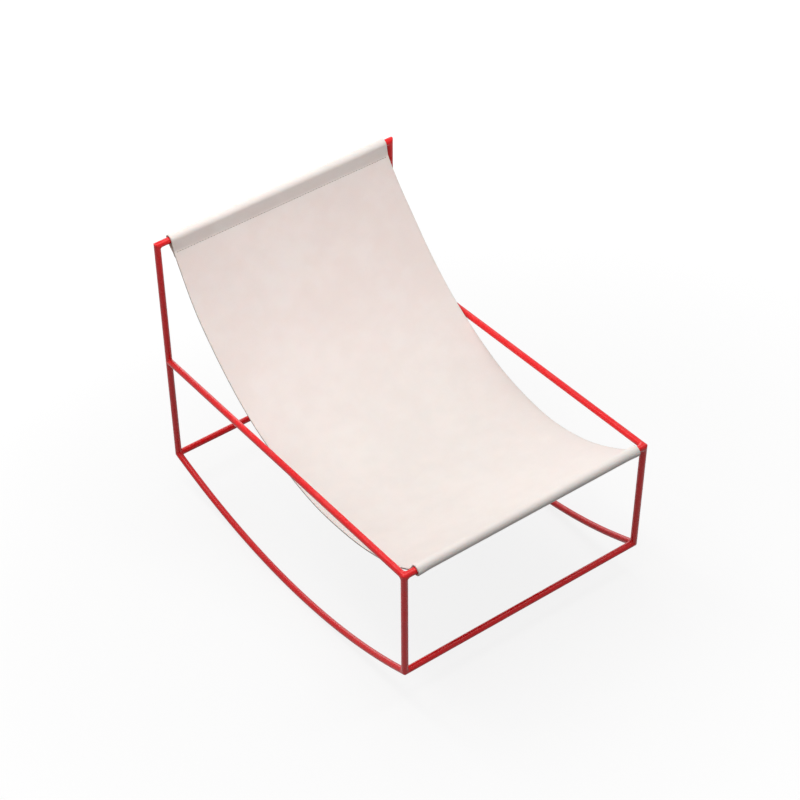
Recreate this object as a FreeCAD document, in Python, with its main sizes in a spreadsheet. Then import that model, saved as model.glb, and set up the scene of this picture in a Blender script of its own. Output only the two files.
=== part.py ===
import FreeCAD, Part
import os
import re
from math import asin, atan2, cos, degrees, hypot, pi, radians, sin, sqrt, tan

# Rocking chaise lounge: a frame of welded round bar on two curved rockers,
# with one leather sheet slung between the top crossbar and the seat front crossbar.
# Millimetres. +X is the sitter's left, +Y the rear, +Z up.
# The origin lies on the floor, below the middle of the whole chair.

document = FreeCAD.newDocument("rocking_chaise_lounge")
sizes = document.addObject("Spreadsheet::Sheet", "sizes")

# Driving dimensions. Posts and rails are measured from corner to corner on the bars' axes.
DRIVING = {
    "rod_diameter": 15,
    "side_spacing": 600,          # between the axes of the two side frames
    "rocker_span": 943.7,         # straight from one end of a rocker to the other
    "rocker_sag": 87.3,           # how far the rocker's middle lies below its ends
    "front_post_length": 308.2,
    "front_post_lean": 10.5,      # degrees forward from upright
    "rear_post_length": 664.2,
    "rear_post_lean": 11.2,
    "rail_height": 311.2,         # up the rear post to the side rail
    "bare_bar": 45,               # what the sheet leaves of a crossbar, both ends together
    "sheet_offset": 5.5,          # the sheet hangs a little nearer to the left side frame
    "sheet_thickness": 3.5,
    "sleeve_play": 0.8,           # between a crossbar and the leather round it
    "seam_distance": 30.5,        # from a crossbar's axis to the seam of its sleeve
    "hem_tail": 9,                # leather past the seam on the folded-back layer
    "hem_gap": 0.4,               # between the two layers at the seam
    "hem_bend": 20,               # radius at which the two layers part at the seam
    "sling_depth": 240,           # below the straight line between its two bars
    "sling_depth_place": 441,     # along that line, from the seat front bar
    "seat_edge_angle": 31,        # degrees below level, as the sheet leaves the front bar
    "headrest_angle": 67,         # degrees above level, as it reaches the top bar
}

# Values that follow from the driving dimensions. The corners of the floor bars lie at
# corner_height, and front_y is where the front corner goes to centre the chair on the origin.
DERIVED = {
    "rod_radius": "rod_diameter / 2",
    "half_spacing": "side_spacing / 2",
    "sheet_width": "side_spacing - bare_bar",
    "sleeve_outer": "rod_radius + sleeve_play + sheet_thickness",
    "rocker_radius": "(rocker_span ^ 2 / 4 + rocker_sag ^ 2) / (2 * rocker_sag)",
    "rocker_half_angle": "asin(rocker_span / 2 / rocker_radius) / 1 deg",
    "corner_height": "rocker_sag + rod_radius",
    "front_reach": "front_post_length * sin(front_post_lean) + sleeve_outer",
    "front_y": "(front_reach - rocker_span - rod_radius) / 2",
    "rear_y": "front_y + rocker_span",
    "seat_bar_y": "front_y - front_post_length * sin(front_post_lean)",
    "seat_bar_z": "corner_height + front_post_length * cos(front_post_lean)",
    "top_bar_y": "rear_y - rear_post_length * sin(rear_post_lean)",
    "top_bar_z": "corner_height + rear_post_length * cos(rear_post_lean)",
    "joint_y": "rear_y - rail_height * sin(rear_post_lean)",
    "joint_z": "corner_height + rail_height * cos(rear_post_lean)",
    "rail_length": "sqrt((joint_y - seat_bar_y) ^ 2 + (joint_z - seat_bar_z) ^ 2)",
    "rail_angle": "asin((joint_z - seat_bar_z) / rail_length) / 1 deg",
    "front_post_angle": "90 + front_post_lean",
    "rear_post_angle": "90 + rear_post_lean",
    "trim_size": "2 * rod_diameter",
}


def fill_sheet():
    """Write the driving numbers, then the formulas that follow from them, each with its alias."""
    row = 1
    for alias, value in DRIVING.items():
        sizes.set(f"A{row}", alias)
        sizes.set(f"B{row}", str(value))
        sizes.setAlias(f"B{row}", alias)
        row += 1
    for alias, formula in DERIVED.items():
        sizes.set(f"A{row}", alias)
        sizes.set(f"B{row}", "=" + formula)
        sizes.setAlias(f"B{row}", alias)
        row += 1
    document.recompute()


fill_sheet()
ALIAS = re.compile(r"\b(" + "|".join([*DRIVING, *DERIVED]) + r")\b")


def bind(item, **formulas):
    """Bind properties of an object to formulas of the sheet's aliases."""
    for name, formula in formulas.items():
        item.setExpression(name, ALIAS.sub(r"sizes.\1", str(formula)))
    return item


def put(item, point, yaw, pitch, roll):
    """Place an object at a point, turned by yaw, pitch and roll in degrees."""
    x, y, z = point
    return bind(item, Placement=f"placement(vector({x}; {y}; {z}); rotation({yaw}; {pitch}; {roll}))")


def round_bar(name, length):
    """A plain round bar along its own Z."""
    bar = document.addObject("Part::Cylinder", name)
    return bind(bar, Radius="rod_radius", Height=length)


def mitre_block(name, length, start_slope, end_slope, reach="trim_size", half_width="trim_size"):
    """The block that holds what lies between two mitre planes, along its own Z.

    The planes are z = start_slope y and z = length + end_slope y. The block spans
    y from -trim_size to reach, and x from -half_width to half_width.
    """
    block = document.addObject("Part::Wedge", name)
    return bind(
        block,
        Xmin=f"-({half_width})", Xmax=half_width, X2min=f"-({half_width})", X2max=half_width,
        Ymin="-trim_size", Ymax=reach,
        Zmin=f"-trim_size * ({start_slope})", Z2min=f"({reach}) * ({start_slope})",
        Zmax=f"{length} - trim_size * ({end_slope})", Z2max=f"{length} + ({reach}) * ({end_slope})")


def trimmed(label, bar, *blocks):
    """The part of a bar that lies inside every one of its mitre blocks."""
    result = bar
    for count, block in enumerate(blocks):
        common = document.addObject("Part::Common", f"{label}_trim{count}")
        common.Base = result
        common.Tool = block
        result = common
    result.Label = label
    return result


def side_bar(label, side, corner, angle, length, start_slope, end_slope, cross_end=True):
    """A straight bar of a side frame, from a corner along an angle from +Y towards +Z.

    Its side mitres lie square to the side frame, and its cross mitres, at 45 degrees,
    face the crossbars. The far end has a cross mitre only where a crossbar meets it.
    """
    y, z = corner
    start = (f"{side} * half_spacing", y, z)
    overlong = (start[0], f"{y} - trim_size * cos({angle})", f"{z} - trim_size * sin({angle})")
    bar = put(round_bar(f"{label}_bar", f"{length} + 2 * trim_size"), overlong, 0, 0, f"{angle} - 90")
    side_mitres = mitre_block(f"{label}_side_mitres", length, start_slope, end_slope)
    put(side_mitres, start, 0, 0, f"{angle} - 90")
    cross_length = length if cross_end else f"{length} + trim_size"
    cross_mitres = mitre_block(f"{label}_cross_mitres", cross_length, side, -side if cross_end else 0)
    put(cross_mitres, start, 90, f"90 - ({angle})", 0)
    return trimmed(label, bar, side_mitres, cross_mitres)


def crossbar(label, corner, *neighbours):
    """A bar between the side frames, mitred at 45 degrees against each bar that it meets there.

    The neighbours are the angles of those bars, as seen from the corner.
    """
    y, z = corner
    bar = round_bar(f"{label}_bar", "side_spacing + 2 * trim_size")
    put(bar, ("-half_spacing - trim_size", y, z), 0, 90, 0)
    blocks = []
    for count, angle in enumerate(neighbours):
        block = mitre_block(f"{label}_mitres{count}", "side_spacing", 1, -1)
        blocks.append(put(block, ("-half_spacing", y, z), 90, f"90 - ({angle})", 90))
    return trimmed(label, bar, *blocks)


def rocker(label, side):
    """The round bar bent to one arc, mitred at each end against its post and its floor bar."""
    x = f"{side} * half_spacing"
    half_sweep = "(rocker_half_angle + asin(trim_size / rocker_radius) / 1 deg)"
    arc = document.addObject("Part::Torus", f"{label}_arc")
    bind(arc, Radius1="rocker_radius", Radius2="rod_radius", Angle3=f"2 * {half_sweep}")
    centre = (x, "front_y + rocker_span / 2", "corner_height - rocker_sag + rocker_radius")
    put(arc, centre, 90, f"{half_sweep} - 270", 90)
    front_slope = "-1 / tan((front_post_angle - rocker_half_angle) / 2)"
    rear_slope = "-1 / tan((rear_post_angle + 180 + rocker_half_angle) / 2)"
    side_mitres = mitre_block(f"{label}_side_mitres", "rocker_span", front_slope, rear_slope,
                              reach="rocker_sag + trim_size")
    blocks = [put(side_mitres, (x, *FRONT_CORNER), 0, 0, -90)]
    for end, corner, angle in (("front", FRONT_CORNER, ROCKER_FROM_FRONT),
                               ("rear", REAR_CORNER, ROCKER_FROM_REAR)):
        block = mitre_block(f"{label}_{end}_cross_mitre", "1.5 * rocker_span", side, 0,
                            half_width="rocker_span")
        blocks.append(put(block, (x, *corner), 90, f"90 - ({angle})", 0))
    return trimmed(label, arc, *blocks)


def heading(angle):
    """The unit vector at an angle in degrees, in the plane of the sheet's outline."""
    return FreeCAD.Vector(cos(radians(angle)), sin(radians(angle)), 0)


def turn_between(first, second):
    """The signed angle in radians, anticlockwise positive, from one direction to another."""
    return atan2(first.x * second.y - first.y * second.x, first.dot(second))


def biarc(start, start_way, end, end_way):
    """Two tangent arcs from one point and direction to another, as steps of a walk.

    Both end tangents have the same length d, from |v - d (a + b)| = 2 d, where v joins
    the points and a, b are the two directions. The arcs meet halfway between their tips.
    """
    gap = end - start
    ways = start_way + end_way
    slack = 2 * (1 - start_way.dot(end_way))
    reach = (sqrt(gap.dot(ways) ** 2 + slack * gap.dot(gap)) - gap.dot(ways)) / slack
    middle_way = (gap - ways * reach).normalize()
    steps = []
    for first, second in ((start_way, middle_way), (middle_way, end_way)):
        turn = turn_between(first, second)
        steps.append((reach / tan(abs(turn) / 2), turn))
    return steps


def sleeve(seam_distance, bar_circle, layer_step, bend, tail):
    """The steps of a walk along the leather from its seam, round a bar and back to its free end.

    A layer bends away from the seam by the angle at which it runs tangent to the circle
    round the bar: sin and cos of that angle satisfy D sin + (b + e) cos = c + b, with the
    seam at D from the bar, the bend's radius b, the circle's c, and the layer e off the line.
    """
    def away(offset):
        across = bend + offset
        angle = asin((bar_circle + bend) / hypot(seam_distance, across)) - atan2(across, seam_distance)
        return angle, seam_distance * cos(angle) - across * sin(angle)

    near_angle, near_run = away(0)
    far_angle, far_run = away(layer_step)
    return [(bend, near_angle), (near_run, 0), (bar_circle, -pi - near_angle - far_angle),
            (far_run, 0), (bend, far_angle), (tail, 0)]


def walk(start, way, steps, offset):
    """Edges beside a walk of straight runs (length, 0) and arcs (radius, turn), left by offset."""
    edges = []
    for size, turn in steps:
        left = FreeCAD.Vector(-way.y, way.x, 0)
        begin = start + left * offset
        if turn == 0:
            start = start + way * size
            edges.append(Part.LineSegment(begin, start + left * offset).toShape())
            continue
        side = 1 if turn > 0 else -1
        centre = start + left * (side * size)
        spin = FreeCAD.Rotation(FreeCAD.Vector(0, 0, 1), degrees(turn))
        half_spin = FreeCAD.Rotation(FreeCAD.Vector(0, 0, 1), degrees(turn / 2))
        middle = centre + half_spin.multVec(begin - centre)
        end = centre + spin.multVec(begin - centre)
        edges.append(Part.Arc(begin, middle, end).toShape())
        start = centre + spin.multVec(start - centre)
        way = spin.multVec(way)
    return edges


def leather_sling():
    """One leather sheet, folded back over each crossbar and slung between them.

    The outline is drawn along the middle of the leather, as a walk from the free end under
    the seat's edge, round the front bar, down the sag in four arcs, up and round the top bar.
    Its two sides lie half a thickness left and right of the walk.
    """
    get = sizes.get
    seat_bar = FreeCAD.Vector(get("seat_bar_y"), get("seat_bar_z"), 0)
    top_bar = FreeCAD.Vector(get("top_bar_y"), get("top_bar_z"), 0)
    along = (top_bar - seat_bar).normalize()
    down = FreeCAD.Vector(along.y, -along.x, 0)
    seat_way = heading(-get("seat_edge_angle"))
    back_way = heading(get("headrest_angle"))
    thickness = get("sheet_thickness")
    seat_seam = seat_bar + seat_way * get("seam_distance")
    back_seam = top_bar - back_way * get("seam_distance")
    deepest = seat_bar + along * get("sling_depth_place") + down * get("sling_depth")
    sag = biarc(seat_seam, seat_way, deepest, along) + biarc(deepest, along, back_seam, back_way)
    loop = sleeve(get("seam_distance"), get("rod_radius") + get("sleeve_play") + thickness / 2,
                  thickness + get("hem_gap"), get("hem_bend"), get("hem_tail"))
    under_layer = FreeCAD.Vector(seat_way.y, -seat_way.x, 0) * (thickness + get("hem_gap"))
    free_end = seat_seam + under_layer + seat_way * get("hem_tail")
    steps = loop[::-1] + sag + loop
    outer = walk(free_end, seat_way * -1, steps, -thickness / 2)
    inner = walk(free_end, seat_way * -1, steps, thickness / 2)
    caps = []
    for vertex in (0, -1):
        first = outer[vertex].Vertexes[vertex].Point
        second = inner[vertex].Vertexes[vertex].Point
        caps.append(Part.LineSegment(first, second).toShape())
    outline = Part.Wire(Part.__sortEdges__([*outer, *inner, *caps]))
    sheet = Part.Face(outline).extrude(FreeCAD.Vector(0, 0, get("sheet_width")))
    item = document.addObject("Part::Feature", "leather_sling")
    item.Shape = sheet
    edge_x = get("sheet_offset") - get("sheet_width") / 2
    item.Placement = FreeCAD.Placement(FreeCAD.Vector(edge_x, 0, 0), FreeCAD.Rotation(90, 0, 90))
    item.Label = "leather_sling"
    return item


# The four corners that both side frames share, and the ways a rocker leaves its two ends.
FRONT_CORNER = ("front_y", "corner_height")
REAR_CORNER = ("rear_y", "corner_height")
SEAT_CORNER = ("seat_bar_y", "seat_bar_z")
TOP_CORNER = ("top_bar_y", "top_bar_z")
ROCKER_FROM_FRONT = "-rocker_half_angle"
ROCKER_FROM_REAR = "180 + rocker_half_angle"

parts = []
for hand, side in (("left", 1), ("right", -1)):
    front_post = side_bar(
        f"{hand}_front_post", side, FRONT_CORNER, "front_post_angle", "front_post_length",
        "1 / tan((front_post_angle + rocker_half_angle) / 2)",
        "-tan((front_post_angle - rail_angle) / 2)")
    rear_post = side_bar(
        f"{hand}_rear_post", side, REAR_CORNER, "rear_post_angle", "rear_post_length",
        "1 / tan((rear_post_angle - 180 - rocker_half_angle) / 2)", 0)
    rail_blank = side_bar(
        f"{hand}_rail_blank", side, SEAT_CORNER, "rail_angle", "rail_length",
        "1 / tan((rail_angle - front_post_angle - 180) / 2)",
        "1 / tan(rail_angle - rear_post_angle)", cross_end=False)
    side_rail = document.addObject("Part::Cut", f"{hand}_side_rail")
    side_rail.Base = rail_blank
    side_rail.Tool = rear_post
    side_rail.Label = f"{hand}_side_rail"
    parts += [front_post, rear_post, side_rail, rocker(f"{hand}_rocker", side)]

parts += [
    crossbar("top_crossbar", TOP_CORNER, "rear_post_angle + 180"),
    crossbar("seat_front_crossbar", SEAT_CORNER, "rail_angle", "front_post_angle + 180"),
    crossbar("front_floor_crossbar", FRONT_CORNER, "front_post_angle", ROCKER_FROM_FRONT),
    crossbar("rear_floor_crossbar", REAR_CORNER, "rear_post_angle", ROCKER_FROM_REAR),
    leather_sling(),
]
document.recompute()

for item in document.Objects:
    if {"Invalid", "Error"} & set(item.State):
        raise RuntimeError(f"{item.Label} did not compute: {item.State}")
for item in parts:
    if item.Shape.isNull() or not item.Shape.isValid() or len(item.Shape.Solids) != 1:
        raise RuntimeError(f"{item.Label} has no sound single solid")

os.makedirs("parts", exist_ok=True)
for item in parts:
    item.Shape.exportStep(f"parts/{item.Label}.step")
    print(f"{item.Label}: {item.Shape.Volume / 1000:.1f} cubic centimetres")
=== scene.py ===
from math import asin, atan2, cos, hypot, pi, radians, sin, sqrt, tan

import bpy
import numpy as np
from mathutils import Matrix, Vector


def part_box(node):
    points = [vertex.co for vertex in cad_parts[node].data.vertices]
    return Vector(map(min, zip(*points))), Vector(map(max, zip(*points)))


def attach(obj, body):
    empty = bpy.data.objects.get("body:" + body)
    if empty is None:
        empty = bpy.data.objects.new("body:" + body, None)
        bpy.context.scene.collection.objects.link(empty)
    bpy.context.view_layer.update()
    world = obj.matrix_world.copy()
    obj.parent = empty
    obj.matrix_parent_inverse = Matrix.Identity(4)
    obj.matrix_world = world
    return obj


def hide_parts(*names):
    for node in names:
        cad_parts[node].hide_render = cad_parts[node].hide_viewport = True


# The looks of a rocking chaise lounge: a frame of welded round bar, lacquered red, and one
# sheet of pale leather folded and sewn round two of its bars. Metres, in the frame of the part.

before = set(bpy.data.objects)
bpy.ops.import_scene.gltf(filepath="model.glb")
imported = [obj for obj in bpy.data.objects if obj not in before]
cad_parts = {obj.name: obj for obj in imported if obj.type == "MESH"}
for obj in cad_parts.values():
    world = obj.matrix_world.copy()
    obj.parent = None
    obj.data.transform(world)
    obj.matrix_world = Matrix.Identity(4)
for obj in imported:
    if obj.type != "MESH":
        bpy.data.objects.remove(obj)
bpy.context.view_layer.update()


# Camera: where the photograph was taken from. The chair leans forward at rest, and the
# photographer turned the picture until the posts stood upright, which is the roll.

VIEW_AZIMUTH = radians(-29.40)
VIEW_ELEVATION = radians(37.55)
VIEW_ROLL = radians(-7.89)
VIEW_DISTANCE = 4.937
VIEW_AIM = (0.0267, 0.0026, 0.3716)
VIEW_LENS = 102.4              # millimetres, on a sensor 36 millimetres wide

# Steel bar. Its radius, the size of the fillet that a ground weld leaves in an inside corner,
# and of the soft edge along an outside mitre.

BAR_RADIUS = 0.0075
WELD_FILLET = 0.0052
MITRE_EDGE = 0.0010
BAR_SIDES = 48

# Leather sheet: its cut size, its thickness, and where its seams lie.

SHEET_WIDTH = 0.555
SHEET_THICKNESS = 0.0035
EDGE_ROUND = 0.0005            # how far the corners of a cut edge are rounded over
SLEEVE_PLAY = 0.0008
SEAM_DISTANCE = 0.0305
HEM_TAIL = 0.009
HEM_GAP = 0.0004
HEM_BEND = 0.020
SLING_DEPTH = 0.240
SLING_DEPTH_PLACE = 0.441
SEAT_EDGE_ANGLE = radians(31)
HEADREST_ANGLE = radians(67)
STITCH_PITCH = 0.0071
STITCH_COUNT = 76
THREAD_RADIUS = 0.00050
THREAD_LIFT = 0.00020           # how far a stitch stands clear of the leather between its holes


def smooth(value):
    """The cubic 3v^2 - 2v^3 of a value held between 0 and 1."""
    v = np.clip(value, 0, 1)
    return v * v * (3 - 2 * v)


def bump(value, start, top_start, top_end, end):
    """A hill over a value: 0 outside start and end, 1 between the two tops, smooth flanks."""
    rise = smooth((value - start) / (top_start - start))
    return rise * (1 - smooth((value - top_end) / (end - top_end)))


def length_of(vectors):
    """The length of each vector along the last axis."""
    return np.sqrt((vectors * vectors).sum(-1))


def middle_of(node):
    """The centre of a solid's box."""
    low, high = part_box(node)
    return (np.array(low) + np.array(high)) / 2


# Meshes

def grid_faces(rows, columns, first=0, round_about=True):
    """The quads of a grid of points, row by row, that may close on itself across each row."""
    row = np.arange(rows - 1)[:, None] * columns + first
    here = np.arange(columns if round_about else columns - 1)[None, :]
    there = (here + 1) % columns
    corners = [row + here, row + there, row + columns + there, row + columns + here]
    return np.stack(corners, -1).reshape(-1, 4)


def enclosed_volume(points, faces):
    """The signed volume inside a closed surface, from the cones of its faces to the origin."""
    volume = 0.0
    for size in {len(f) for f in faces}:
        corners = points[np.array([f for f in faces if len(f) == size])]
        for third in range(2, size):
            turned = np.cross(corners[:, third - 1], corners[:, third])
            volume += (corners[:, 0] * turned).sum() / 6
    return volume


def make_piece(name, points, faces, materials, body, material_of=None, marks=None):
    """A smooth mesh of the given faces, turned outwards, that rides on a body.

    material_of holds the number of each face's material. marks are named values of the
    points, which the materials read as attributes.
    """
    points = points.reshape(-1, 3)
    faces = [list(map(int, f)) for f in faces]
    if enclosed_volume(points, faces) < 0:
        faces = [f[::-1] for f in faces]
    mesh = bpy.data.meshes.new(name)
    mesh.from_pydata(points.tolist(), [], faces)
    for material in materials:
        mesh.materials.append(material)
    if material_of is not None:
        mesh.polygons.foreach_set("material_index", np.asarray(material_of, np.int32))
    mesh.polygons.foreach_set("use_smooth", np.ones(len(faces), bool))
    for mark, values in (marks or {}).items():
        layer = mesh.attributes.new(mark, "FLOAT", "POINT")
        layer.data.foreach_set("value", np.asarray(values, np.float32).ravel())
    mesh.update()
    piece = bpy.data.objects.new(name, mesh)
    bpy.context.scene.collection.objects.link(piece)
    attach(piece, body)
    return piece


# Material nodes

def add(tree, kind, inputs=(), **settings):
    """A shader node with its settings, and with inputs that are numbers, colours or sockets."""
    made = tree.nodes.new("ShaderNode" + kind)
    for name, value in settings.items():
        setattr(made, name, value)
    for name, value in dict(inputs).items():
        if isinstance(value, bpy.types.NodeSocket):
            tree.links.new(value, made.inputs[name])
        else:
            made.inputs[name].default_value = value
    return made


def maths(tree, operation, first, second=0.5, clamp=False):
    """The result of one sum on two values."""
    return add(tree, "Math", {0: first, 1: second}, operation=operation, use_clamp=clamp).outputs[0]


def remap(tree, value, low, high, new_low=0.0, new_high=1.0):
    """A value carried smoothly from one range to another and held there."""
    inputs = {"Value": value, "From Min": low, "From Max": high, "To Min": new_low, "To Max": new_high}
    return add(tree, "MapRange", inputs, interpolation_type="SMOOTHSTEP").outputs["Result"]


def blend_colours(tree, share, first, second):
    """Two colours mixed by a share of the second."""
    node = add(tree, "Mix", {"Factor": share}, data_type="RGBA")
    for socket, value in ((node.inputs[6], first), (node.inputs[7], second)):
        if isinstance(value, bpy.types.NodeSocket):
            tree.links.new(value, socket)
        else:
            socket.default_value = value
    return node.outputs[2]


def colour(red, green, blue):
    """A colour given as it shows on a screen, 0 to 255, in the linear values that shaders take."""
    levels = np.array([red, green, blue]) / 255
    linear = np.where(levels <= 0.04045, levels / 12.92, ((levels + 0.055) / 1.055) ** 2.4)
    return (*linear.tolist(), 1.0)


def effect(name, inputs, outputs):
    """An empty node group, with the names and defaults of its inputs and the names of its outputs."""
    tree = bpy.data.node_groups.new(name, "ShaderNodeTree")
    for socket, default in inputs.items():
        kind = "NodeSocketVector" if default is None else "NodeSocketFloat"
        made = tree.interface.new_socket(name=socket, in_out="INPUT", socket_type=kind)
        if default is not None:
            made.default_value = default
    for socket in outputs:
        tree.interface.new_socket(name=socket, in_out="OUTPUT", socket_type="NodeSocketFloat")
    return tree, tree.nodes.new("NodeGroupInput"), tree.nodes.new("NodeGroupOutput")


def make_mottle():
    """Cloudy variation at two sizes: a broad drift and a finer one, from 0 to 1."""
    tree, given, result = effect("mottle", {"Vector": None, "Clouds per metre": 6.0}, ["Cloud"])
    size = given.outputs["Clouds per metre"]
    place = given.outputs["Vector"]
    broad = add(tree, "TexNoise", {"Vector": place, "Scale": size, "Detail": 2.0})
    fine_size = maths(tree, "MULTIPLY", size, 5.3)
    fine = add(tree, "TexNoise", {"Vector": place, "Scale": fine_size, "Detail": 3.0})
    share = maths(tree, "MULTIPLY", fine.outputs["Fac"], 0.4)
    both = maths(tree, "MULTIPLY_ADD", broad.outputs["Fac"], 0.6)
    tree.links.new(share, both.node.inputs[2])
    tree.links.new(remap(tree, both, 0.34, 0.66), result.inputs["Cloud"])
    return tree


def make_leather_grain():
    """The pebbles of full-grain leather, each a rounded cell, with pores and hair-fine creases."""
    tree, given, result = effect(
        "leather_grain", {"Vector": None, "Pebbles per metre": 850.0}, ["Height", "Crease"])
    place, size = given.outputs["Vector"], given.outputs["Pebbles per metre"]
    drift = add(tree, "TexNoise", {"Vector": place, "Scale": 180.0, "Detail": 2.0})
    shift = add(tree, "VectorMath", {0: drift.outputs["Color"], "Scale": 0.0016}, operation="SCALE")
    bent = add(tree, "VectorMath", {0: place, 1: shift.outputs[0]}, operation="ADD").outputs[0]
    cells = add(tree, "TexVoronoi", {"Vector": bent, "Scale": size, "Randomness": 1.0},
                feature="DISTANCE_TO_EDGE")
    pebble = remap(tree, cells.outputs["Distance"], 0.0, 0.32)
    skin = add(tree, "TexNoise", {"Vector": place, "Scale": 2600.0, "Detail": 3.0})
    wide = add(tree, "TexNoise", {"Vector": place, "Scale": 70.0, "Detail": 3.0})
    rough = maths(tree, "MULTIPLY", skin.outputs["Fac"], 0.25)
    swell = maths(tree, "MULTIPLY", wide.outputs["Fac"], 1.6)
    height = maths(tree, "ADD", maths(tree, "ADD", pebble, rough), swell)
    tree.links.new(height, result.inputs["Height"])
    tree.links.new(remap(tree, cells.outputs["Distance"], 0.10, 0.0), result.inputs["Crease"])
    return tree


def make_rubbing():
    """Where handling has worn a surface: a mark of the piece, broken up by noise."""
    tree, given, result = effect(
        "rubbing", {"Vector": None, "Mark": 0.0, "Streaks per metre": 300.0}, ["Worn"])
    noise = add(tree, "TexNoise", {"Vector": given.outputs["Vector"], "Detail": 5.0,
                                   "Scale": given.outputs["Streaks per metre"]})
    broken = maths(tree, "MULTIPLY", given.outputs["Mark"],
                   remap(tree, noise.outputs["Fac"], 0.36, 0.62))
    tree.links.new(maths(tree, "MULTIPLY", broken, 1.0, clamp=True), result.inputs["Worn"])
    return tree


def make_settled_dust():
    """A trace of dust on what faces up, in soft patches."""
    tree, given, result = effect("settled_dust", {"Vector": None, "Amount": 0.1}, ["Dust"])
    facing = add(tree, "SeparateXYZ", {"Vector": add(tree, "NewGeometry").outputs["Normal"]})
    noise = add(tree, "TexNoise", {"Vector": given.outputs["Vector"], "Scale": 45.0, "Detail": 6.0})
    up = remap(tree, facing.outputs["Z"], 0.55, 1.0)
    patch = maths(tree, "MULTIPLY", up, remap(tree, noise.outputs["Fac"], 0.42, 0.70))
    tree.links.new(maths(tree, "MULTIPLY", patch, given.outputs["Amount"]), result.inputs["Dust"])
    return tree


MOTTLE = make_mottle()
LEATHER_GRAIN = make_leather_grain()
RUBBING = make_rubbing()
SETTLED_DUST = make_settled_dust()


def use(tree, group, **inputs):
    """An effect placed in a material, with its inputs written with _ for a space."""
    node = add(tree, "Group", node_tree=group)
    for name, value in inputs.items():
        socket = node.inputs[name.replace("_", " ")]
        if isinstance(value, bpy.types.NodeSocket):
            tree.links.new(value, socket)
        else:
            socket.default_value = value
    return node.outputs


def start_finish(name, **constants):
    """A new material: its tree, its shader with constant sockets set, and the object's own coordinates."""
    material = bpy.data.materials.new(name)
    material.use_nodes = True
    tree = material.node_tree
    shader = tree.nodes["Principled BSDF"]
    for socket, value in constants.items():
        shader.inputs[socket.replace("_", " ")].default_value = value
    return material, tree, shader, add(tree, "TexCoord").outputs["Object"]


def mark_of(tree, name):
    """The value that a piece's points carry under a name."""
    return add(tree, "Attribute", attribute_name=name).outputs["Fac"]


def relief(tree, shader, height, distance, strength=1.0):
    """Bump from a height that spans 0 to 1 over a distance in metres."""
    node = add(tree, "Bump", {"Height": height, "Distance": distance, "Strength": strength})
    tree.links.new(node.outputs["Normal"], shader.inputs["Normal"])


def red_lacquer():
    """Glossy red stoving lacquer: even and hard, with a faint orange peel and scuffed treads."""
    material, tree, shader, place = start_finish(
        "red_lacquer", IOR=1.45, Specular_IOR_Level=0.35)
    cloud = use(tree, MOTTLE, Vector=place, Clouds_per_metre=9.0)["Cloud"]
    worn = use(tree, RUBBING, Vector=place, Mark=mark_of(tree, "tread"),
               Streaks_per_metre=420.0)["Worn"]
    dust = use(tree, SETTLED_DUST, Vector=place, Amount=0.05)["Dust"]
    paint = blend_colours(tree, cloud, colour(232, 17, 25), colour(238, 23, 29))
    scuffed = blend_colours(tree, worn, paint, colour(120, 40, 38))
    tree.links.new(blend_colours(tree, dust, scuffed, colour(205, 190, 180)), shader.inputs["Base Color"])
    sheen = remap(tree, cloud, 0.0, 1.0, 0.24, 0.30)
    rubbed = maths(tree, "MULTIPLY_ADD", worn, 0.35)
    tree.links.new(sheen, rubbed.node.inputs[2])
    tree.links.new(rubbed, shader.inputs["Roughness"])
    peel = add(tree, "TexNoise", {"Vector": place, "Scale": 420.0, "Detail": 2.0})
    ripple = add(tree, "TexNoise", {"Vector": place, "Scale": 130.0, "Detail": 1.0})
    ground = maths(tree, "MULTIPLY", ripple.outputs["Fac"], mark_of(tree, "weld"))
    height = maths(tree, "MULTIPLY_ADD", ground, 5.0)
    tree.links.new(peel.outputs["Fac"], height.node.inputs[2])
    relief(tree, shader, height, 0.000010)
    return material


def grain_leather():
    """The smooth side of the leather: off-white with a blush, fine pebbles, a soft low sheen; along the
    headrest the hide is painted lighter and pinker, as painted light and warm painted shade for the steep
    back.
    """
    material, tree, shader, place = start_finish(
        "grain_leather", IOR=1.45, Sheen_Weight=0.06, Sheen_Roughness=0.45,
        Subsurface_Weight=0.35, Subsurface_Radius=(1.0, 0.6, 0.5), Subsurface_Scale=0.004)
    cloud = use(tree, MOTTLE, Vector=place, Clouds_per_metre=5.0)["Cloud"]
    grain = use(tree, LEATHER_GRAIN, Vector=place, Pebbles_per_metre=850.0)
    worn = use(tree, RUBBING, Vector=place, Mark=mark_of(tree, "rim"), Streaks_per_metre=160.0)["Worn"]
    dust = use(tree, SETTLED_DUST, Vector=place, Amount=0.03)["Dust"]
    seat_hide = blend_colours(tree, cloud, colour(235, 227, 222), colour(240, 232, 227))
    # Painted light: the headrest's hide is lighter, making up for the light that the steep back gets less
    # of, and pinker, for the warmth of its shade.
    headrest_hide_painted_light = blend_colours(tree, cloud, colour(243, 229, 224), colour(247, 235, 231))
    hide = blend_colours(tree, mark_of(tree, "back"), seat_hide, headrest_hide_painted_light)
    # Painted shade: the hide is darkened in the creases between the pebbles, where shade falls.
    crease_shaded_hide = blend_colours(tree, maths(tree, "MULTIPLY", grain["Crease"], 0.10), hide,
                            colour(196, 176, 162))
    rubbed = blend_colours(tree, maths(tree, "MULTIPLY", worn, 0.35), crease_shaded_hide, colour(214, 199, 188))
    tree.links.new(blend_colours(tree, dust, rubbed, colour(214, 208, 200)), shader.inputs["Base Color"])
    tree.links.new(remap(tree, cloud, 0.0, 1.0, 0.50, 0.60), shader.inputs["Roughness"])
    relief(tree, shader, grain["Height"], 0.00007)
    return material


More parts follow.
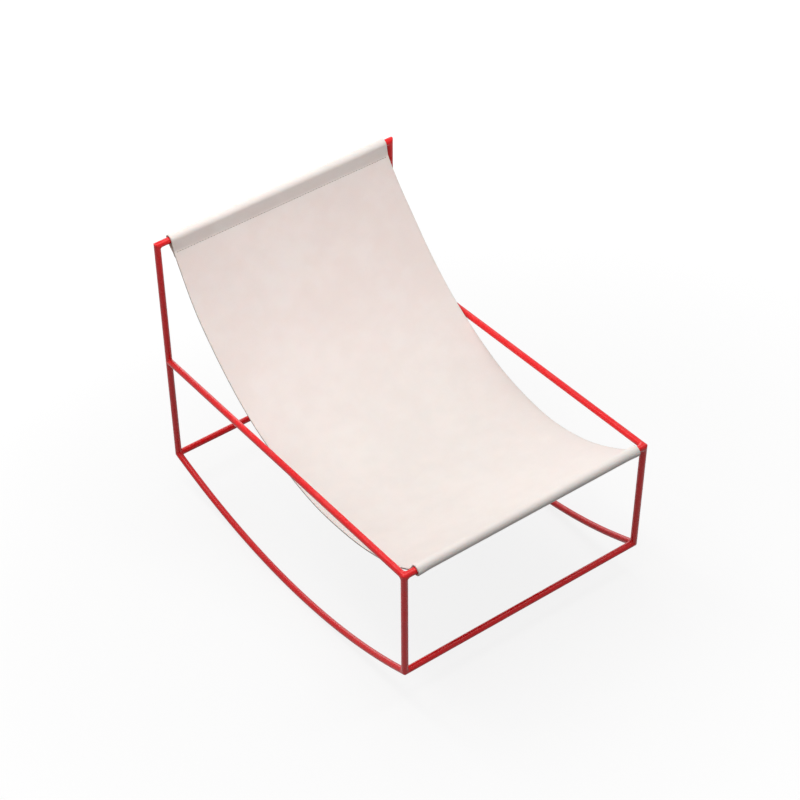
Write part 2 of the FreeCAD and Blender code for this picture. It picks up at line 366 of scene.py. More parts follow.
def flesh_leather():
    """The inner side of the leather: a short suede nap, warmer and duller than the grain."""
    material, tree, shader, place = start_finish(
        "flesh_leather", IOR=1.4, Sheen_Weight=0.25, Sheen_Roughness=0.6)
    cloud = use(tree, MOTTLE, Vector=place, Clouds_per_metre=14.0)["Cloud"]
    stretched = add(tree, "Mapping", {"Vector": place, "Scale": (1.0, 0.45, 1.0)}).outputs["Vector"]
    nap = add(tree, "TexNoise", {"Vector": stretched, "Scale": 1500.0, "Detail": 6.0})
    hide = blend_colours(tree, cloud, colour(214, 196, 182), colour(224, 209, 196))
    fibre = remap(tree, nap.outputs["Fac"], 0.35, 0.65)
    tree.links.new(blend_colours(tree, fibre, colour(200, 181, 166), hide), shader.inputs["Base Color"])
    tree.links.new(remap(tree, fibre, 0.0, 1.0, 0.95, 0.82), shader.inputs["Roughness"])
    relief(tree, shader, fibre, 0.00018)
    return material


def cut_edge():
    """The raw cut through the thickness of the leather: pressed fibres in grey-beige layers."""
    material, tree, shader, place = start_finish("cut_edge", IOR=1.4)
    fibres = add(tree, "TexNoise", {"Vector": place, "Scale": 1100.0, "Detail": 6.0})
    cloud = use(tree, MOTTLE, Vector=place, Clouds_per_metre=40.0)["Cloud"]
    pale = blend_colours(tree, cloud, colour(200, 190, 182), colour(212, 203, 194))
    dark = remap(tree, fibres.outputs["Fac"], 0.62, 0.38)
    tree.links.new(blend_colours(tree, maths(tree, "MULTIPLY", dark, 0.5), pale, colour(160, 146, 136)),
                   shader.inputs["Base Color"])
    tree.links.new(remap(tree, fibres.outputs["Fac"], 0.3, 0.7, 0.72, 0.9), shader.inputs["Roughness"])
    relief(tree, shader, fibres.outputs["Fac"], 0.0002)
    return material


def seam_thread():
    """Bonded sewing thread, a shade darker than the hide, with the slant of its plies."""
    material, tree, shader, place = start_finish("seam_thread", IOR=1.45, Sheen_Weight=0.2)
    slanted = add(tree, "Mapping", {"Vector": place, "Rotation": (0.0, 0.6, 0.5)}).outputs["Vector"]
    plies = add(tree, "TexWave", {"Vector": slanted, "Scale": 320.0, "Distortion": 0.4})
    cloud = use(tree, MOTTLE, Vector=place, Clouds_per_metre=30.0)["Cloud"]
    yarn = blend_colours(tree, cloud, colour(205, 188, 171), colour(216, 200, 184))
    # Painted shade: the thread is darkened in the valleys between its plies.
    ply_valley_shade = maths(tree, "MULTIPLY", remap(tree, plies.outputs["Fac"], 0.45, 0.0), 0.5)
    tree.links.new(blend_colours(tree, ply_valley_shade, yarn, colour(150, 130, 112)), shader.inputs["Base Color"])
    tree.links.new(remap(tree, plies.outputs["Fac"], 0.0, 1.0, 0.8, 0.62), shader.inputs["Roughness"])
    relief(tree, shader, plies.outputs["Fac"], 0.0001)
    return material


def needle_hole_painted_shade():
    """Painted shade: the dark finish of a disc laid over each needle hole, for the shade in the hole's
    mouth.
    """
    material, tree, shader, place = start_finish("needle_hole_painted_shade", IOR=1.3)
    noise = add(tree, "TexNoise", {"Vector": place, "Scale": 1800.0, "Detail": 2.0})
    torn = remap(tree, noise.outputs["Fac"], 0.35, 0.65)
    tree.links.new(blend_colours(tree, torn, colour(70, 52, 42), colour(104, 82, 68)),
                   shader.inputs["Base Color"])
    tree.links.new(remap(tree, torn, 0.0, 1.0, 0.9, 1.0), shader.inputs["Roughness"])
    return material


LACQUER = red_lacquer()
GRAIN = grain_leather()
FLESH = flesh_leather()
EDGE = cut_edge()
THREAD = seam_thread()
HOLE_SHADE = needle_hole_painted_shade()


# Welded bars. Every bar runs between two corners of the frame, and each corner is a point of
# the axes, taken from the boxes of the crossbars that pass through it.

SIDE_X = middle_of("left_rocker")[0]
SEAT_CORNER = middle_of("seat_front_crossbar")
TOP_CORNER = middle_of("top_crossbar")
FRONT_CORNER = middle_of("front_floor_crossbar")
REAR_CORNER = middle_of("rear_floor_crossbar")
ACROSS = np.array([1.0, 0.0, 0.0])


def unit(vector):
    """A vector of length 1 the same way."""
    return np.asarray(vector) / length_of(np.asarray(vector))


def straight_axis(start, end):
    """A straight bar's length, and its axis as a function of the distance from the start."""
    way = unit(end - start)

    def at(s):
        return start + s[..., None] * way, np.broadcast_to(way, (*s.shape, 3))
    return length_of(end - start), at


def rocker_axis(start, end):
    """A rocker's length and axis: the arc through both floor corners that dips to the floor.

    With half span c and sag g its radius is (c^2 + g^2) / 2g, and a point at the turn a from
    the lowest one lies at the centre plus the radius times (sin a, -cos a).
    """
    half_span = (end - start)[1] / 2
    sag = start[2] - BAR_RADIUS
    radius = (half_span ** 2 + sag ** 2) / (2 * sag)
    half_turn = asin(half_span / radius)
    centre = (start + end) / 2 + np.array([0.0, 0.0, radius - sag])

    def at(s):
        turn = s / radius - half_turn
        still = np.zeros_like(turn)
        spoke = np.stack([still, np.sin(turn), -np.cos(turn)], -1)
        return centre + radius * spoke, np.stack([still, np.cos(turn), np.sin(turn)], -1)
    return 2 * half_turn * radius, at


def weld_swell(points, depth, corner, way, mate_way):
    """How far a weld lifts a bar's surface where a mate leaves the same corner.

    The surface is the smooth union of the two bars: with the depths a and b of a point below
    them and a blend width k, it stands out by max(k - |a - b|, 0)^2 / 4k. The width grows
    from 0 to the fillet's on the inner side of the corner, and on the outer side it is the
    soft mitre edge, which takes material away instead.
    """
    offset = points - corner
    beside = offset - (offset @ mate_way)[..., None] * mate_way
    apart = np.abs(depth - (length_of(beside) - BAR_RADIUS))
    inward = offset @ (way + mate_way) / BAR_RADIUS
    swell = 0.0
    for width, share in ((WELD_FILLET, smooth(inward)), (MITRE_EDGE, smooth(-inward))):
        k = width * share + 1e-9
        lift = np.maximum(k - apart, 0) ** 2 / (4 * k)
        swell = swell + (lift if width == WELD_FILLET else -lift)
    return swell


def ring_places(length, crowd, long_step):
    """Shares of a bar's length at which its rings lie, crowded near both ends."""
    near = crowd * np.linspace(0, 1, 26) ** 2
    middle = np.linspace(crowd, length - crowd, 2 + int((length - 2 * crowd) / long_step))
    return np.concatenate([near[:-1], middle, length - near[::-1][1:]]) / length


def bar_skin(axis, ends, long_step, stop_short=None):
    """The skin of a bar between its corners, as rings of points round its axis.

    ends holds, for the start and the far end, the corner and the ways in which its mates
    leave it. A ring's point at the angle t lies at the axis plus r (e cos t + f sin t), with
    e and f square to the axis. The first and last ring lie where the skin meets the mitre
    planes, the nearest of the planes midway between the bar and each mate. The radius r is
    the bar's plus the swell of its welds, found by repeating both steps until they settle.
    """
    length, at = axis
    turn = np.linspace(0, 2 * pi, BAR_SIDES, endpoint=False)
    place = ring_places(length, 0.045, long_step)[:, None]
    first, last = np.zeros(BAR_SIDES), np.full(BAR_SIDES, length)
    radius = np.full((len(place), BAR_SIDES), BAR_RADIUS)
    if stop_short is not None:
        last = last - stop_short(turn)
    for _ in range(60):
        s = first + (last - first) * place
        centre, way = at(s)
        sideways = ACROSS if abs(way[0, 0, 0]) < 0.5 else np.array([0.0, 1.0, 0.0])
        sideways = np.broadcast_to(sideways, way.shape)
        upward = np.cross(way, sideways)
        spoke = sideways * np.cos(turn)[:, None] + upward * np.sin(turn)[:, None]
        points = centre + radius[..., None] * spoke
        swell = 0.0
        for index, (corner, mates) in zip((0, -1), ends):
            leaving = way[index, 0] * (1 if index == 0 else -1)
            limits = []
            for mate in mates:
                swell = swell + weld_swell(points, radius - BAR_RADIUS, corner, leaving, mate)
                beyond = (points[index] - corner) @ (leaving - mate) / (1 - leaving @ mate)
                limits.append(-beyond if index == 0 else beyond)
            if mates and index == 0:
                first = first + np.max(limits, 0)
            elif mates:
                last = last + np.min(limits, 0)
        radius = (radius + BAR_RADIUS + swell) / 2
    return points, s


def closed_bar(name, node, points, start_apex, end_apex, marks):
    """A bar's piece: its rings joined by quads, and each end closed by a fan to its corner."""
    rows, sides = points.shape[:2]
    count = rows * sides
    faces = list(grid_faces(rows, sides))
    around = np.arange(sides)
    faces += list(np.stack([np.roll(around, -1), around, np.full(sides, count)], -1))
    last = around + count - sides
    faces += list(np.stack([last, np.roll(last, -1), np.full(sides, count + 1)], -1))
    everything = np.concatenate([points.reshape(-1, 3), [start_apex, end_apex]])
    marks = {key: np.concatenate([np.ravel(values), [0, 0]]) for key, values in marks.items()}
    piece = make_piece(name, everything, faces, [LACQUER], "frame", marks=marks)
    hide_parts(node)
    return piece


def corner_marks(points, s, length, tread=False):
    """How near a point is to a welded corner, and how far it belongs to a rocker's tread."""
    near = np.minimum(s, length - s)
    weld = 1 - smooth((near - 0.004) / 0.022)
    low = np.zeros_like(s)
    if tread:
        lowest = points[..., 2].min(1, keepdims=True)
        low = 1 - smooth((points[..., 2] - lowest) / 0.0006)
        low = low * (1 - weld)
    return {"weld": weld, "tread": low}


def apex(corner, way, mates):
    """The point at which a bar's closing fan meets those of its mates, just below the skin.

    With two mates b and c of a bar a, all three mitre planes pass through the line from the
    corner along (a - b) x (a - c), and the bars' skins meet on it at r over its sine to a.
    """
    if len(mates) < 2:
        return corner
    spine = unit(np.cross(way - mates[0], way - mates[1]))
    spine = -spine * np.sign(spine @ way)
    return corner + spine * (BAR_RADIUS / sqrt(1 - (spine @ way) ** 2) - 0.6 * MITRE_EDGE)


def plain_bar(name, node, axis, ends, long_step=0.12, tread=False):
    """A bar with mitred and welded corners at its ends."""
    points, s = bar_skin(axis, ends, long_step)
    length, at = axis
    leaving = (at(np.zeros(1))[1][0], -at(np.full(1, length))[1][0])
    tips = [apex(corner, way, mates) for (corner, mates), way in zip(ends, leaving)]
    return closed_bar(name, node, points, *tips, corner_marks(points, s, length, tread))


def coped_rail(name, node, start, joint, start_mates, post_way):
    """A side rail, whose far end is coped to the rear post and welded all round.

    A line of the rail at the angle t meets the post, of the same radius R, where the offset
    across the post is -R |sin t|. The weld is a quadratic curve, with its middle point on
    that edge and its ends a fillet's reach along the rail and along the post.
    """
    axis = straight_axis(start, joint)
    way = unit(joint - start)
    up = np.cross(way, ACROSS)
    square = unit(way - (way @ post_way) * post_way)

    def cope(turn):
        across_post = -np.abs(np.sin(turn)) - np.sin(turn) * (up @ square)
        return -BAR_RADIUS * across_post / (way @ square)

    def reach(turn):
        return 0.8 * WELD_FILLET * np.abs(np.sin(turn))

    points, s = bar_skin(axis, ((start, start_mates), (joint, [])), 0.12,
                         stop_short=lambda turn: cope(turn) + reach(turn))
    turn = np.linspace(0, 2 * pi, BAR_SIDES, endpoint=False)
    beside = points[-1]
    edge = beside + reach(turn)[:, None] * way
    along = reach(turn) * np.sign(np.sin(turn) * (up @ post_way))
    foot = edge + along[:, None] * post_way
    t = np.linspace(0, 1, 8)[1:, None, None]
    weld = (1 - t) ** 2 * beside + 2 * t * (1 - t) * edge + t ** 2 * foot
    everything = np.concatenate([points, weld])
    places = np.concatenate([s, np.broadcast_to(s[-1], (7, BAR_SIDES))])
    return closed_bar(name, node, everything, apex(start, way, start_mates), joint,
                      corner_marks(everything, places, axis[0]))


def on_side(point, side):
    """A corner of the frame, moved to the side frame on one side."""
    return np.array([side * SIDE_X, point[1], point[2]])


def make_side_frame(hand, side):
    """The two posts, the rail and the rocker of one side, each welded to its mates."""
    seat, top, front, rear = (on_side(p, side) for p in (SEAT_CORNER, TOP_CORNER,
                                                         FRONT_CORNER, REAR_CORNER))
    inward = -side * ACROSS
    front_way, rear_way = unit(seat - front), unit(top - rear)
    rail_end_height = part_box(f"{hand}_side_rail")[1][2] - BAR_RADIUS
    joint = rear + rear_way * (rail_end_height - rear[2]) / rear_way[2]
    rail_way = unit(joint - seat)
    rocker = rocker_axis(front, rear)
    from_front = rocker[1](np.zeros(1))[1][0]
    from_rear = -rocker[1](np.full(1, rocker[0]))[1][0]
    plain_bar(f"{hand}_front_post_bar", f"{hand}_front_post", straight_axis(front, seat),
              ((front, [from_front, inward]), (seat, [rail_way, inward])))
    plain_bar(f"{hand}_rear_post_bar", f"{hand}_rear_post", straight_axis(rear, top),
              ((rear, [from_rear, inward]), (top, [inward])))
    plain_bar(f"{hand}_rocker_bar", f"{hand}_rocker", rocker,
              ((front, [front_way, inward]), (rear, [rear_way, inward])), 0.016, tread=True)
    coped_rail(f"{hand}_side_rail_bar", f"{hand}_side_rail", seat, joint, [-front_way, inward],
               rear_way)
    return {"seat": [rail_way, -front_way], "top": [-rear_way],
            "front": [front_way, from_front], "rear": [rear_way, from_rear]}


def make_crossbar(name, corner, mates):
    """A crossbar between the two side frames. Its mates lie alike at both ends."""
    right, left = on_side(corner, -1), on_side(corner, 1)
    plain_bar(f"{name}_bar", name, straight_axis(right, left), ((right, mates), (left, mates)))


make_side_frame("right", -1)
mates = make_side_frame("left", 1)
make_crossbar("top_crossbar", TOP_CORNER, mates["top"])
make_crossbar("seat_front_crossbar", SEAT_CORNER, mates["seat"])
make_crossbar("front_floor_crossbar", FRONT_CORNER, mates["front"])
make_crossbar("rear_floor_crossbar", REAR_CORNER, mates["rear"])


# Leather sheet. Its middle surface follows a walk in the plane of a side frame: from the free
# end under the seat's edge, round the front bar, down and up the sag, and round the top bar.

def plane_way(angle):
    """A unit vector (y, z) at an angle up from the rear."""
    return np.array([cos(angle), sin(angle)])


def turn_between(first, second):
    """The signed turn, anticlockwise positive, from one way to another."""
    return atan2(first[0] * second[1] - first[1] * second[0], float(first @ second))


def biarc(start, start_way, end, end_way):
    """Two tangent arcs from one point and way to another, as (length, turn) steps.

    Both end tangents have the length d, from |v - d (a + b)| = 2 d, where v joins the points
    and a, b are the two ways. The arcs meet halfway between the tangents' tips.
    """
    gap, ways = end - start, start_way + end_way
    slack = 2 * (1 - start_way @ end_way)
    reach = (sqrt((gap @ ways) ** 2 + slack * (gap @ gap)) - gap @ ways) / slack
    middle_way = unit(gap - ways * reach)
    turns = [turn_between(start_way, middle_way), turn_between(middle_way, end_way)]
    return [(reach / tan(abs(turn) / 2) * abs(turn), turn) for turn in turns]


def sleeve_steps():
    """The steps from a seam, round a bar and back to the free end of the leather.

    A layer leaves the seam by the angle at which it runs tangent to the circle round the bar:
    its sine and cosine satisfy D sin + (b + e) cos = c + b, with the seam at D from the bar,
    the bend's radius b, the circle's c, and the layer e beside the line to the bar.
    """
    circle = BAR_RADIUS + SLEEVE_PLAY + SHEET_THICKNESS / 2

    def away(offset):
        across = HEM_BEND + offset
        angle = asin((circle + HEM_BEND) / hypot(SEAM_DISTANCE, across)) - atan2(across, SEAM_DISTANCE)
        return angle, SEAM_DISTANCE * cos(angle) - across * sin(angle)

    near_angle, near_run = away(0)
    far_angle, far_run = away(SHEET_THICKNESS + HEM_GAP)
    around = pi + near_angle + far_angle
    return [(HEM_BEND * near_angle, near_angle), (near_run, 0), (circle * around, -around),
            (far_run, 0), (HEM_BEND * far_angle, far_angle), (HEM_TAIL, 0)]


def sheet_walk():
    """The start, the first way and the steps of the whole walk, from one free end to the other."""
    seat_bar, top_bar = SEAT_CORNER[1:], TOP_CORNER[1:]
    along = unit(top_bar - seat_bar)
    down = np.array([along[1], -along[0]])
    seat_way, back_way = plane_way(-SEAT_EDGE_ANGLE), plane_way(HEADREST_ANGLE)
    seat_seam = seat_bar + seat_way * SEAM_DISTANCE
    back_seam = top_bar - back_way * SEAM_DISTANCE
    deepest = seat_bar + along * SLING_DEPTH_PLACE + down * SLING_DEPTH
    sag = biarc(seat_seam, seat_way, deepest, along) + biarc(deepest, along, back_seam, back_way)
    under = np.array([seat_way[1], -seat_way[0]]) * (SHEET_THICKNESS + HEM_GAP)
    sleeve = sleeve_steps()
    return seat_seam + under + seat_way * HEM_TAIL, -seat_way, sleeve[::-1] + sag + sleeve


class SheetPath:
    """The walk with its steps added up: where each begins, which way, and how it curves."""

    def __init__(self):
        start, way, steps = sheet_walk()
        self.lengths = np.array([length for length, _ in steps])
        self.bends = np.array([turn / length + 1e-6 for length, turn in steps])
        self.begins = np.concatenate([[0], np.cumsum(self.lengths)])
        self.length = self.begins[-1]
        turned = np.cumsum(self.lengths * self.bends)
        self.angles = atan2(way[1], way[0]) + np.concatenate([[0], turned])
        steps_made = self.move(self.angles[:-1], self.bends, self.lengths)
        self.points = start + np.concatenate([[[0, 0]], np.cumsum(steps_made, 0)])

    @staticmethod
    def move(angle, bend, length):
        """The way covered along an arc: (sin b - sin a) / k across and (cos a - cos b) / k up."""
        after = angle + bend * length
        return np.stack([np.sin(after) - np.sin(angle), np.cos(angle) - np.cos(after)], -1) / bend[..., None]

    def at(self, s):
        """The point (y, z), and the unit vectors along the walk and to its left, at distances s."""
        step = np.clip(np.searchsorted(self.begins, s, side="right") - 1, 0, len(self.lengths) - 1)
        rest = s - self.begins[step]
        angle = self.angles[step] + self.bends[step] * rest
        point = self.points[step] + self.move(self.angles[step], self.bends[step], rest)
        along = np.stack([np.cos(angle), np.sin(angle)], -1)
        return point, along, np.stack([-along[..., 1], along[..., 0]], -1)


PATH = SheetPath()
SEAMS = {"seat_under": PATH.begins[1], "seat_front": PATH.begins[6],
         "headrest_front": PATH.begins[10], "headrest_back": PATH.begins[15]}
SHEET_MIDDLE = middle_of("leather_sling")[0]
HALF_WIDTH = SHEET_WIDTH / 2
HALF_THICKNESS = SHEET_THICKNESS / 2


def slow_waves(x, s, seed, count, shortest, longest):
    """A sum of plane waves with seeded ways, lengths and phases, about 1 high at most."""
    random = np.random.default_rng(seed)
    total = np.zeros(np.broadcast(x, s).shape)
    for _ in range(count):
        heading, phase = random.uniform(0, 2 * pi, 2)
        wave = random.uniform(shortest, longest)
        total = total + np.sin(2 * pi * (x * cos(heading) + s * sin(heading)) / wave + phase)
    return total / count


def edge_bow(s):
    """How far each side edge bows out of line: out along the back, in behind the seat's edge."""
    out = bump(s, 0.50, 0.76, 0.97, 1.14)
    drawn_in = bump(s, 0.12, 0.28, 0.37, 0.52)
    return 0.0052 * out - 0.0034 * drawn_in


def sheet_skew(s):
    """How far the hide's middle lies from that of its solid: a little askew on its two bars."""
    return -0.0018 + 0.0036 * s / PATH.length


def hem_share(s):
    """1 in the two sewn sleeves and their free ends, 0 along the sag, with short flanks."""
    inner = (SEAMS["seat_front"], SEAMS["headrest_front"])
    return 1 - bump(s, inner[0], inner[0] + 0.05, inner[1] - 0.05, inner[1])


def stitch_mark(x):
    """1 at each needle hole and -1 at the middle of each stitch, along the seam."""
    return np.cos(2 * pi * (x / STITCH_PITCH - STITCH_COUNT / 2))


def lie_of_sheet(x, s):
    """How far the sheet lies off its walk, along its upper normal: slow hollows, and loose ends."""
    free = 1 - hem_share(s)
    hollows = 0.0012 * free * slow_waves(x, s, 5, 7, 0.16, 0.45)
    loose = smooth((np.abs(x) - HALF_WIDTH + 0.030) / 0.030)
    flare = 0.0
    for circle, back in ((3, PATH.begins[3] - 0.030), (12, PATH.begins[13] + 0.030)):
        begin, end = sorted((back, PATH.begins[circle] + PATH.lengths[circle] * 0.5))
        flare = flare + 0.0013 * loose * bump(s, begin, begin + 0.014, end - 0.010, end)
    return hollows + flare


def grain_relief(x, s):
    """How far the pull of the thread presses the grain side in, along each of the four seam lines."""
    total = np.zeros(np.broadcast(x, s).shape)
    sewn = 1 - smooth((np.abs(x) - STITCH_PITCH * STITCH_COUNT / 2) / 0.003)
    for seam in SEAMS.values():
        near = np.exp(-((s - seam) / 0.0016) ** 2)
        wide = np.exp(-((s - seam) / 0.0045) ** 2)
        total = total - sewn * (0.00022 * near * (1 + stitch_mark(x)) / 2 + 0.00034 * wide)
    return total


def sheet_point(x, s, level):
    """A point of the leather: x across, s along the walk, level -1 flesh side to 1 grain side."""
    middle, _, left = PATH.at(s)
    height = level * HALF_THICKNESS + lie_of_sheet(x, s) + (level + 1) / 2 * grain_relief(x, s)
    place = middle + left * height[..., None]
    out = SHEET_MIDDLE + sheet_skew(s) + x + edge_bow(s) * x / HALF_WIDTH
    return np.concatenate([out[..., None], place], -1)


def sheet_columns():
    """Places across the sheet: at every needle hole and mid-stitch, and finer near the edges."""
    holes = (np.arange(2 * STITCH_COUNT + 1) / 2 - STITCH_COUNT / 2) * STITCH_PITCH
    margin = HALF_WIDTH - EDGE_ROUND - np.array([0, 0.0008, 0.0020, 0.0040])
    return np.concatenate([-margin, holes, margin[::-1]])


def section_loop():
    """The outline of a cut across the sheet: the grain side, a rounded edge, the flesh side, an edge."""
    face = sheet_columns()
    turn = np.linspace(pi / 2, 0, 4)[1:]
    edge_x = np.concatenate([np.cos(turn), np.cos(turn)[::-1]]) * EDGE_ROUND
    flat = (HALF_THICKNESS - EDGE_ROUND + np.sin(turn) * EDGE_ROUND) / HALF_THICKNESS
    edge_level = np.concatenate([flat, -flat[::-1]])
    edge_x = HALF_WIDTH - EDGE_ROUND + edge_x
    x = np.concatenate([face, edge_x, face[::-1], -edge_x[::-1]])
    level = np.concatenate([np.ones(len(face)), edge_level, -np.ones(len(face)), edge_level[::-1]])
    kind = np.concatenate([np.full(len(face) - 1, 0), np.full(len(edge_x) + 1, 2),
                           np.full(len(face) - 1, 1), np.full(len(edge_x) + 1, 2)])
    return x, level, kind


def sheet_rows():
    """Distances along the walk of the rows: one on every seam, close in the sleeves, wide between."""
    under, front, high, back = SEAMS.values()
    stops = (0, under, front, front + 0.012, high - 0.012, high, back, PATH.length)
    counts = (7, 76, 10, 91, 10, 76, 7)
    runs = [np.linspace(a, b, n, endpoint=False) for a, b, n in zip(stops, stops[1:], counts)]
    return np.concatenate([*runs, [PATH.length]])


def make_leather_sling():
    """The whole sheet as one closed skin: rows of the cut's outline, with both free ends closed."""
    x, level, kind = section_loop()
    s = sheet_rows()
    squeeze = np.ones(len(s))
    squeeze[[0, -1]] = 1 - EDGE_ROUND / HALF_THICKNESS
    points = sheet_point(x[None, :], s[:, None], level[None, :] * squeeze[:, None])
    columns = len(x)
    faces = list(grid_faces(len(s), columns))
    material_of = list(np.tile(kind, len(s) - 1))
    wide = (columns - 12) // 2
    for row in (0, len(s) - 1):
        upper = row * columns + np.arange(-3, wide + 3) % columns
        lower = row * columns + (2 * wide + 5 - np.arange(-3, wide + 3)) % columns
        strip = np.stack([upper[:-1], lower[:-1], lower[1:], upper[1:]], -1)
        strip = strip[::-1, ::-1] if row else strip
        faces += [f[np.sort(np.unique(f, return_index=True)[1])] for f in strip]
        material_of += [2] * len(strip)
    rim = 1 - smooth((HALF_WIDTH - np.abs(x)) / 0.006)
    rim = np.broadcast_to(rim, (len(s), columns))
    # back marks the headrest, whose hide is painted lighter and pinker: painted light and warm painted shade
    # for the steep back.
    back = np.broadcast_to(bump(s, 0.50, 0.95, 1.10, 1.20)[:, None], (len(s), columns))
    piece = make_piece("leather_sling_sheet", points, faces, [GRAIN, FLESH, EDGE], "sling",
                       material_of, {"rim": rim, "back": back})
    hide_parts("leather_sling")
    return piece


# Stitches. The two layers of a sleeve are sewn together along one straight row of holes, and a
# stitch lies over the leather from hole to hole on the seen side and on the side below.

def stitch_shape():
    """One stitch along x from hole to hole: a tube whose ends turn down into their holes.

    At the share t along it, x = -cos(pi t) half a pitch, and the height is the lift times
    sin(pi t) to the power 0.6 less a dip of two radii at both ends.
    """
    t = np.linspace(0, 1, 9)
    run = -np.cos(pi * t) * (STITCH_PITCH - 0.0011) / 2
    height = THREAD_LIFT * np.sin(pi * t) ** 0.6 - 2 * THREAD_RADIUS * (1 - np.sin(pi * t) ** 0.5)
    turn = np.linspace(0, 2 * pi, 6, endpoint=False)
    plump = THREAD_RADIUS * (0.75 + 0.25 * np.sin(pi * t))
    across = plump[:, None] * np.cos(turn)
    up = height[:, None] + plump[:, None] * np.sin(turn) * 0.8
    return np.stack([np.broadcast_to(run[:, None], across.shape), across, up], -1)


def hole_shade_disc():
    """One needle hole's painted shade: a shallow dark dish, lying just on top of the grain.

    A ring at the share v of the hole's radius is lifted by a height that ends at the surface.
    """
    turn = np.linspace(0, 2 * pi, 8, endpoint=False)
    rings = []
    for share, height in ((1.0, -0.00010), (0.92, 0.00016), (0.45, 0.00010)):
        rings.append(np.stack([0.00100 * share * np.cos(turn), 0.00080 * share * np.sin(turn),
                               np.full(8, height)], -1))
    return np.stack(rings)


def sew_along(name, seam, offset, shape, across, finish, level=1):
    """Copies of a small shape along a seam, joined to one piece that lies on the leather.

    A point (x, y, z) of the shape lands at x across the sheet, y along the walk from the
    seam and z above the leather, and every copy turns a little about its own middle.
    """
    rows, sides = shape.shape[:2]
    random = np.random.default_rng(round(seam * 1e6))
    skew = random.normal(0, 0.035, len(across))[:, None, None]
    x = across[:, None, None] + shape[..., 0] - skew * shape[..., 1]
    s = seam + offset + shape[..., 1] + skew * shape[..., 0]
    middle, _, left = PATH.at(s)
    lying = lie_of_sheet(x, s) + level * HALF_THICKNESS
    lying = lying + (level + 1) / 2 * grain_relief(across[:, None, None], seam) + level * shape[..., 2]
    out = SHEET_MIDDLE + sheet_skew(s) + x + edge_bow(s) * x / HALF_WIDTH
    points = np.concatenate([out[..., None], middle + left * lying[..., None]], -1)
    one = [list(f) for f in grid_faces(rows, sides)]
    one += [list(range(sides))[::-1], list(range((rows - 1) * sides, rows * sides))]
    faces = [[corner + copy * rows * sides for corner in f] for copy in range(len(across)) for f in one]
    piece = make_piece(name, points, faces, [finish], "sling")
    return piece


def sew_sleeves():
    """Stitches, and the painted shade of their needle holes, on the two outer layers of both sleeves."""
    stitches = (np.arange(STITCH_COUNT) - (STITCH_COUNT - 1) / 2) * STITCH_PITCH
    holes = (np.arange(STITCH_COUNT + 1) - STITCH_COUNT / 2) * STITCH_PITCH
    sewn = []
    for label, seam in SEAMS.items():
        sewn.append(sew_along(f"{label}_stitches", seam, 0.0, stitch_shape(), stitches, THREAD))
        # The needle holes are dark discs of painted shade, laid on the grain where the shade of each hole
        # falls.
        sewn.append(sew_along(f"{label}_needle_hole_painted_shades", seam, 0.0, hole_shade_disc(), holes, HOLE_SHADE))
    return sewn


sling = make_leather_sling()
stitching = sew_sleeves()


# Stage: a pale floor, the lamps, the world and the camera

def seen_directly(tree):
    """1 for a ray from the camera, or one mirrored or let through on its way, and 0 for light."""
    path = add(tree, "LightPath").outputs
    seen = maths(tree, "MAXIMUM", path["Is Camera Ray"], path["Is Glossy Ray"])
    return maths(tree, "MAXIMUM", seen, path["Is Transmission Ray"])


def make_floor():
    """A wide floor that keeps the chair's shadow. Where it is seen it is pale, as if lit by a wash."""
    material, tree, shader, place = start_finish("studio_floor", Roughness=0.9)
    shader.inputs["Base Color"].default_value = (0.12, 0.12, 0.12, 1.0)
    wash = add(tree, "Emission", {"Color": (1.0, 1.0, 1.0, 1.0), "Strength": 1.0})
    distance = add(tree, "VectorMath", {0: place}, operation="LENGTH").outputs["Value"]
    far = remap(tree, distance, 0.5, 2.6, 0.83, 1.0)
    wash_strength = maths(tree, "MULTIPLY", far, seen_directly(tree))
    tree.links.new(wash_strength, wash.inputs["Strength"])
    both = add(tree, "AddShader", {0: shader.outputs[0], 1: wash.outputs[0]})
    tree.links.new(both.outputs[0], tree.nodes["Material Output"].inputs["Surface"])
    size = 40.0
    corners = [(-size, -size, 0.0), (size, -size, 0.0), (size, size, 0.0), (-size, size, 0.0)]
    mesh = bpy.data.meshes.new("floor")
    mesh.from_pydata(corners, [], [(0, 1, 2, 3)])
    mesh.materials.append(material)
    floor = bpy.data.objects.new("floor", mesh)
    bpy.context.scene.collection.objects.link(floor)


def make_world():
    """An even white surround: soft light for the chair, plain white where it is seen."""
    world = bpy.data.worlds.new("studio")
    world.use_nodes = True
    bpy.context.scene.world = world
    tree = world.node_tree
    strength = maths(tree, "MULTIPLY_ADD", seen_directly(tree), 0.78)
    strength.node.inputs[2].default_value = 0.22
    tree.nodes["Background"].inputs["Color"].default_value = (1.0, 1.0, 1.0, 1.0)
    tree.links.new(strength, tree.nodes["Background"].inputs["Strength"])


def facing(back, roll=0.0):
    """The turn of a camera or lamp that looks against a unit vector, rolled about it."""
    side = unit(np.cross([0.0, 0.0, 1.0], back))
    up = np.cross(back, side)
    across = side * cos(roll) + up * sin(roll)
    return Matrix(np.stack([across, np.cross(back, across), back], 1).tolist())


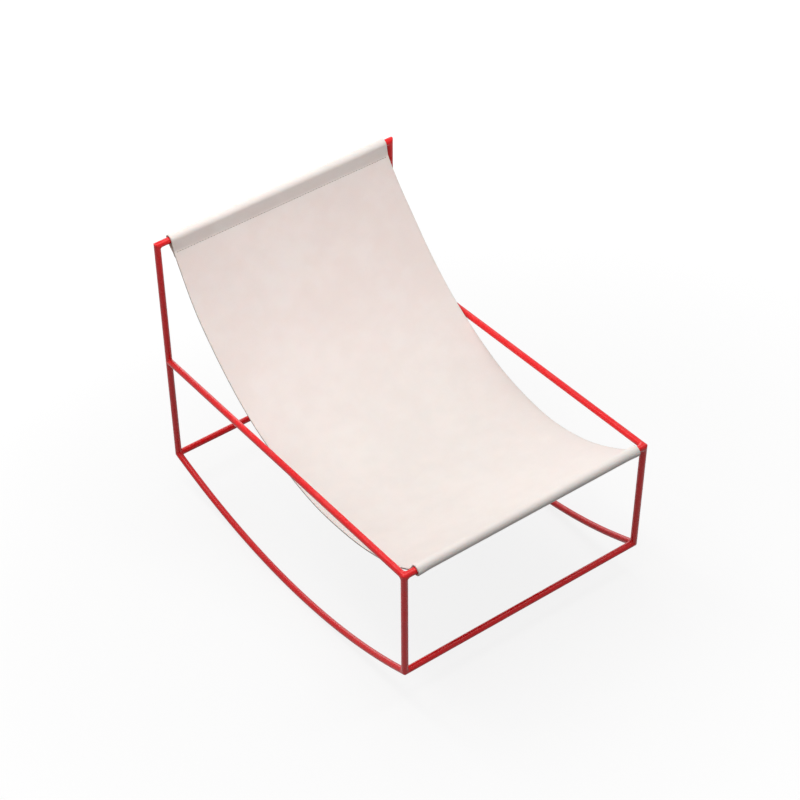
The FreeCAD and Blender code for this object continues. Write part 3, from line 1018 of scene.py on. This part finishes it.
def way_from(azimuth, elevation):
    """The unit vector from the chair towards a place seen at an azimuth and elevation."""
    return np.array([sin(azimuth) * cos(elevation), -cos(azimuth) * cos(elevation), sin(elevation)])


def place_at(thing, aim, back, distance, roll=0.0):
    """Put a camera or lamp at a distance from what it looks at."""
    turn = facing(back, roll).to_4x4()
    turn.translation = np.asarray(aim) + back * distance
    thing.matrix_world = turn
    bpy.context.scene.collection.objects.link(thing)


def make_camera():
    """The photograph's camera."""
    camera = bpy.data.objects.new("camera", bpy.data.cameras.new("camera"))
    camera.data.lens = VIEW_LENS
    camera.data.clip_end = 200.0
    place_at(camera, VIEW_AIM, way_from(VIEW_AZIMUTH, VIEW_ELEVATION), VIEW_DISTANCE, VIEW_ROLL)
    bpy.context.scene.camera = camera


def make_lamp(name, place, width, depth, watts, tint, hung=False):
    """A rectangular soft box. One that is hung looks straight down, and others at the seat."""
    lamp = bpy.data.objects.new(name, bpy.data.lights.new(name, "AREA"))
    lamp.data.shape = "RECTANGLE"
    lamp.data.size = width
    lamp.data.size_y = depth
    lamp.data.energy = watts
    lamp.data.color = tint
    if hung:
        lamp.location = place
        bpy.context.scene.collection.objects.link(lamp)
    else:
        offset = np.asarray(place) - (0.0, 0.0, 0.35)
        place_at(lamp, (0.0, 0.0, 0.35), unit(offset), length_of(offset))


make_floor()
make_world()
make_camera()
make_lamp("overhead_soft_box", (-0.10, -0.35, 2.45), 2.0, 1.7, 26.5, (1.0, 0.998, 0.992), hung=True)
make_lamp("rear_soft_box", (-0.60, 0.90, 2.40), 0.4, 0.9, 11.0, (1.0, 0.998, 0.992), hung=True)
make_lamp("front_strip", (1.05, -1.15, 2.45), 0.9, 0.5, 8.0, (1.0, 1.0, 1.0), hung=True)
make_lamp("back_soft_box", (0.90, 2.60, 1.30), 2.0, 2.0, 24.0, (1.0, 1.0, 1.0))
make_lamp("low_soft_box", (-1.90, -1.65, 2.30), 2.0, 2.0, 14.0, (0.985, 0.985, 1.0))
bpy.context.scene.view_settings.view_transform = "Standard"
